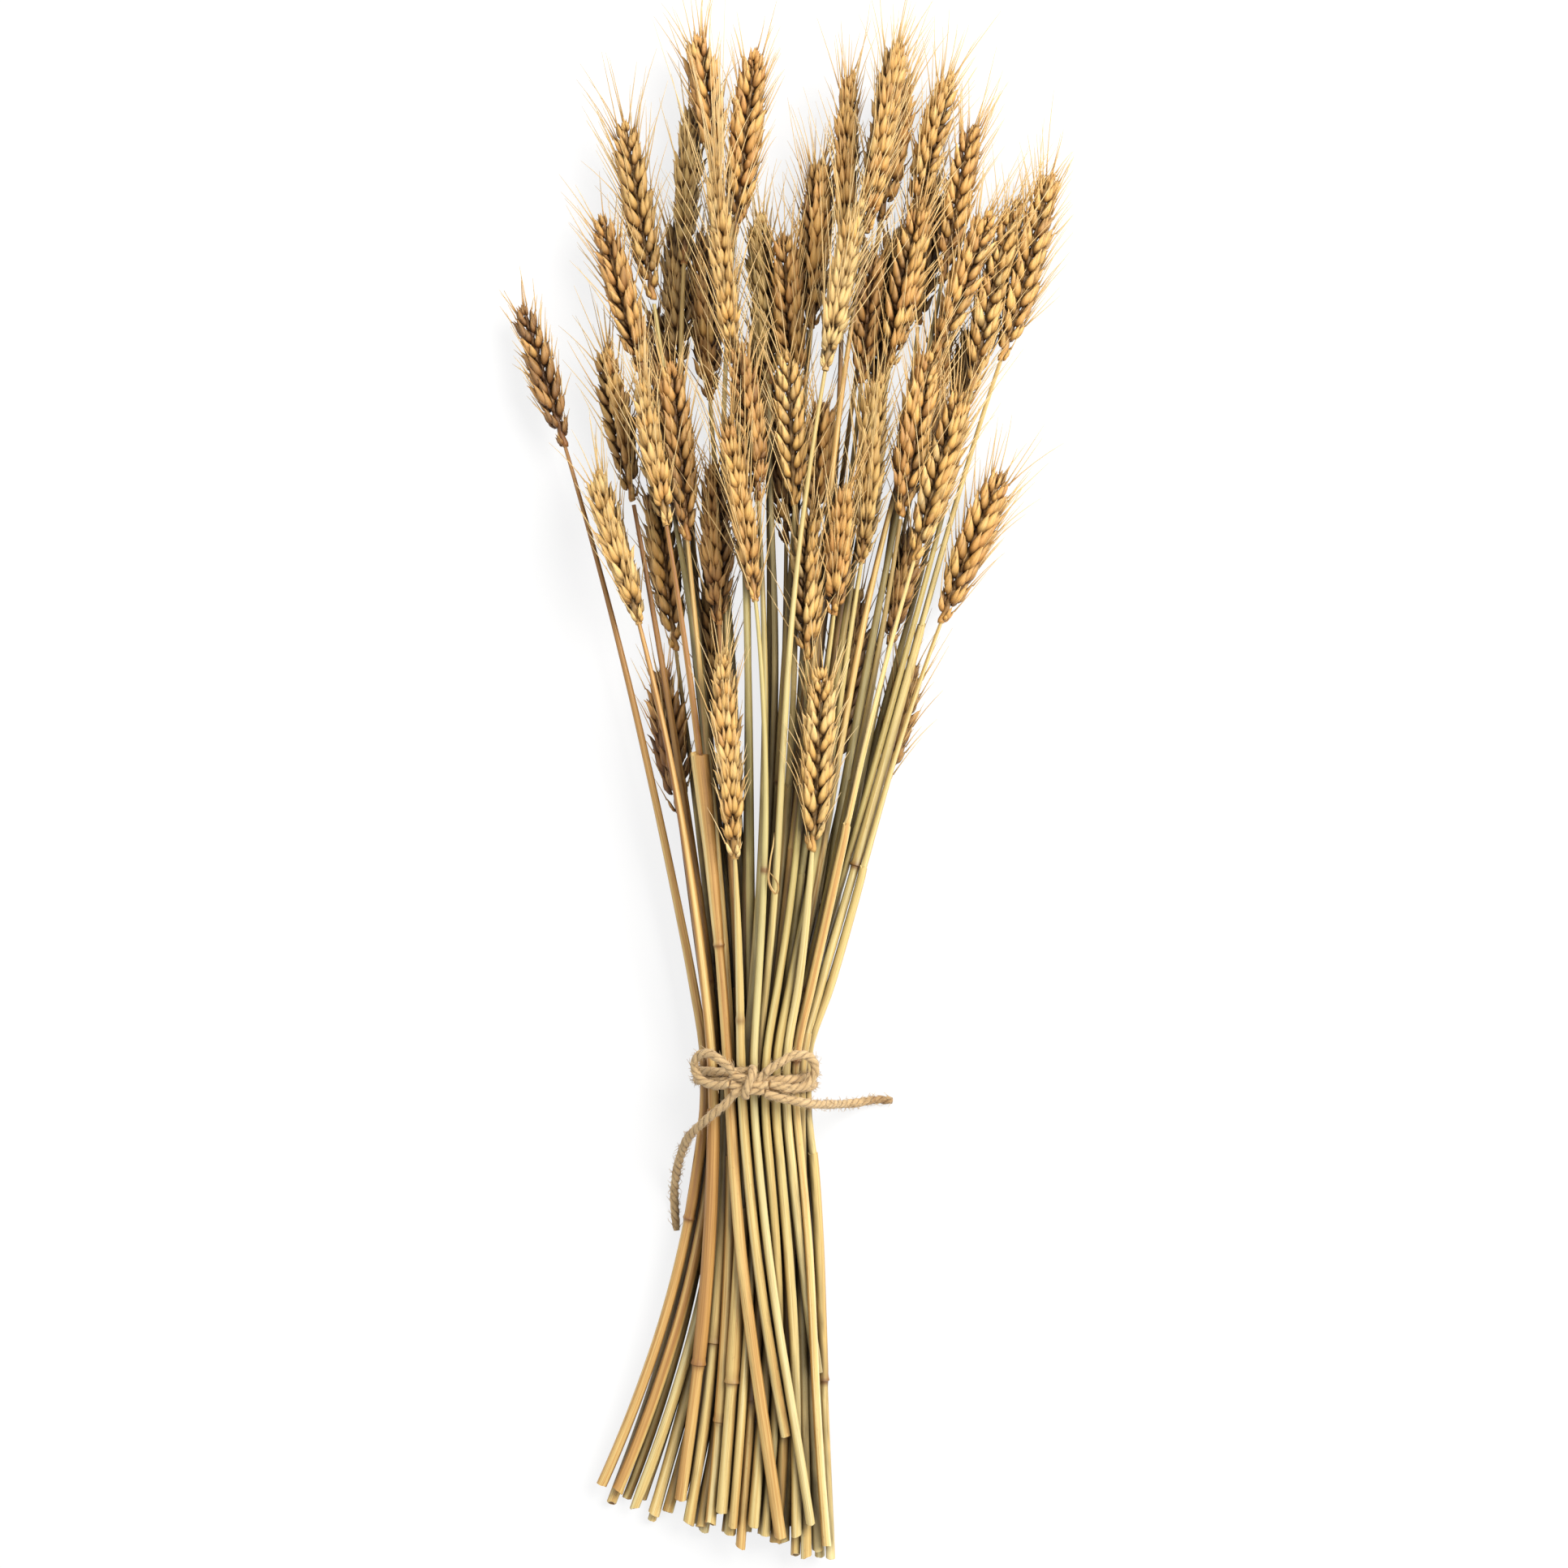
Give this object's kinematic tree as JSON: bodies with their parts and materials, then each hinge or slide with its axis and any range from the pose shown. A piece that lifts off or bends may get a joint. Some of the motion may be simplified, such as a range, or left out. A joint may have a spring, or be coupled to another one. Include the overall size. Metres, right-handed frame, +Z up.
{
  "type": "dried wheat bundle",
  "caption": "Bundle of ripe, bearded dried wheat, tied at the waist with a jute twine bow and lying on its side.",
  "frame": {"origin": "bottom centre of the bundle as it lies on a flat surface, without the free twine", "axes": "+Y along the stalks towards the ears, +Z up from the surface, +X across the bundle"},
  "size_m": [0.207, 0.5878, 0.0527],
  "materials": {
    "straw": "satin",
    "husk": "matte",
    "jute": "matte"
  },
  "bodies": {
    "root": {"stalk_01": "straw", "stalk_02": "straw", "stalk_03": "straw", "stalk_04": "straw", "stalk_05": "straw", "stalk_06": "straw", "stalk_07": "straw", "stalk_08": "straw", "stalk_09": "straw", "stalk_10": "straw", "stalk_11": "straw", "stalk_12": "straw", "stalk_13": "straw", "stalk_14": "straw", "stalk_15": "straw", "stalk_16": "straw", "stalk_17": "straw", "stalk_18": "straw", "stalk_19": "straw", "stalk_20": "straw", "stalk_21": "straw", "stalk_22": "straw", "stalk_23": "straw", "stalk_24": "straw", "stalk_25": "straw", "stalk_26": "straw", "stalk_27": "straw", "stalk_28": "straw", "stalk_29": "straw", "stalk_30": "straw", "stalk_31": "straw", "stalk_32": "straw", "stalk_33": "straw", "stalk_34": "straw", "stalk_35": "straw", "stalk_36": "straw", "stalk_37": "straw", "stalk_38": "straw", "stalk_39": "straw", "stalk_40": "straw", "stalk_41": "straw", "stalk_42": "straw", "stalk_43": "straw", "stalk_44": "straw", "stalk_45": "straw", "stalk_46": "straw", "stalk_47": "straw", "stalk_48": "straw", "stalk_49": "straw", "stalk_50": "straw", "stalk_51": "straw", "stalk_52": "straw", "stalk_53": "straw", "stalk_54": "straw", "twine_band": "jute", "twine_knot": "jute", "bow_loop_left": "jute", "bow_loop_right": "jute", "twine_tail_left": "jute", "twine_tail_right": "jute"}
  },
  "joints": []
}
